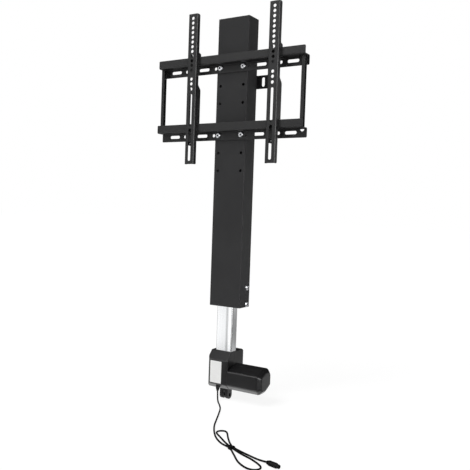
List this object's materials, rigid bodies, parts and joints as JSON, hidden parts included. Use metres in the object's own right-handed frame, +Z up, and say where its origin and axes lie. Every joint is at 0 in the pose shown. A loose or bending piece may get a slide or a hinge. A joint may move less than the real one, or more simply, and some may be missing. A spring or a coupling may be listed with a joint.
{
  "type": "motorised screen lift column",
  "caption": "Motorised lift column with a screen frame: a channel column slides up a fixed tube, driven by a gearbox and motor at its foot, and two arms slide along its rails.",
  "frame": {"origin": "centre of the wall plate's back face", "axes": "+X to the viewer's right along the rails, +Y back into the wall, +Z up along the column"},
  "size_m": [0.6132, 0.4582, 1.0985],
  "materials": {
    "black_steel": "fine satin black powder coat",
    "tube_aluminium": "bright brushed aluminium",
    "box_plastic": "satin black moulded plastic",
    "guide_plastic": "matte black plastic",
    "foot_plastic": "matte black plastic",
    "pale_nylon": "waxy natural nylon",
    "bright_steel": "ground steel",
    "zinc_steel": "bright zinc plating",
    "dark_screw": "black oxide",
    "motor_steel": "grey painted can",
    "label": "blank white film label",
    "cord_jacket": "satin black jacket",
    "plug_plastic": "satin black moulding"
  },
  "bodies": {
    "root": {"guide_tube": "tube_aluminium", "tube_top_guide": "guide_plastic", "gearbox_front_shell": "box_plastic", "gearbox_rear_shell": "box_plastic", "gearbox_screws": "dark_screw", "rating_label": "label", "motor_cover": "box_plastic", "motor": "motor_steel", "spindle_bearings": "bright_steel", "foot_clevis": "foot_plastic", "wall_plate": "black_steel", "wall_standoff": "black_steel", "wall_bracket_screws": "zinc_steel", "cord_gland": "foot_plastic", "power_cord": "cord_jacket", "cord_tie": "cord_jacket", "cord_plug": "plug_plastic"},
    "lift": {"column_shell": "black_steel", "column_top_cap": "guide_plastic", "head_plate": "black_steel", "head_bolt": "zinc_steel", "push_tube": "bright_steel", "push_tube_plug": "bright_steel", "drive_nut": "pale_nylon", "left_guide_block": "pale_nylon", "right_guide_block": "pale_nylon", "guide_block_bolts": "zinc_steel", "upper_rail": "black_steel", "lower_rail": "black_steel", "left_strut": "black_steel", "right_strut": "black_steel", "rail_bolts": "zinc_steel", "rail_nuts": "zinc_steel"},
    "spindle": {"spindle": "bright_steel", "spindle_end_bush": "pale_nylon", "worm_wheel": "pale_nylon"},
    "worm": {"worm_shaft": "bright_steel"},
    "left_arm": {"left_arm": "black_steel", "left_lock_tab": "black_steel", "left_lock_screw": "zinc_steel"},
    "right_arm": {"right_arm": "black_steel", "right_lock_tab": "black_steel", "right_lock_screw": "zinc_steel"}
  },
  "joints": [
    {"name": "column_lift", "type": "slide", "parent": "root", "child": "lift", "axis": [0, 0, 1], "range_m": [0, 0.7]},
    {"name": "spindle_spin", "type": "hinge", "parent": "root", "child": "spindle", "pos_m": [0, -0.056, -0.5], "axis": [0, 0, -1], "range_deg": [0, 21000]},
    {"name": "worm_spin", "type": "hinge", "parent": "root", "child": "worm", "pos_m": [0, -0.039, -0.845], "axis": [1, 0, 0], "range_deg": [0, 315000.02]},
    {"name": "left_arm_slide", "type": "slide", "parent": "lift", "child": "left_arm", "axis": [1, 0, 0], "range_m": [-0.097, 0.055]},
    {"name": "right_arm_slide", "type": "slide", "parent": "lift", "child": "right_arm", "axis": [1, 0, 0], "range_m": [-0.1, 0.055]}
  ],
  "couplings": [
    {"joint": "spindle_spin", "follows": "column_lift", "rad_per_m": 523.6},
    {"joint": "worm_spin", "follows": "column_lift", "rad_per_m": 7854}
  ]
}
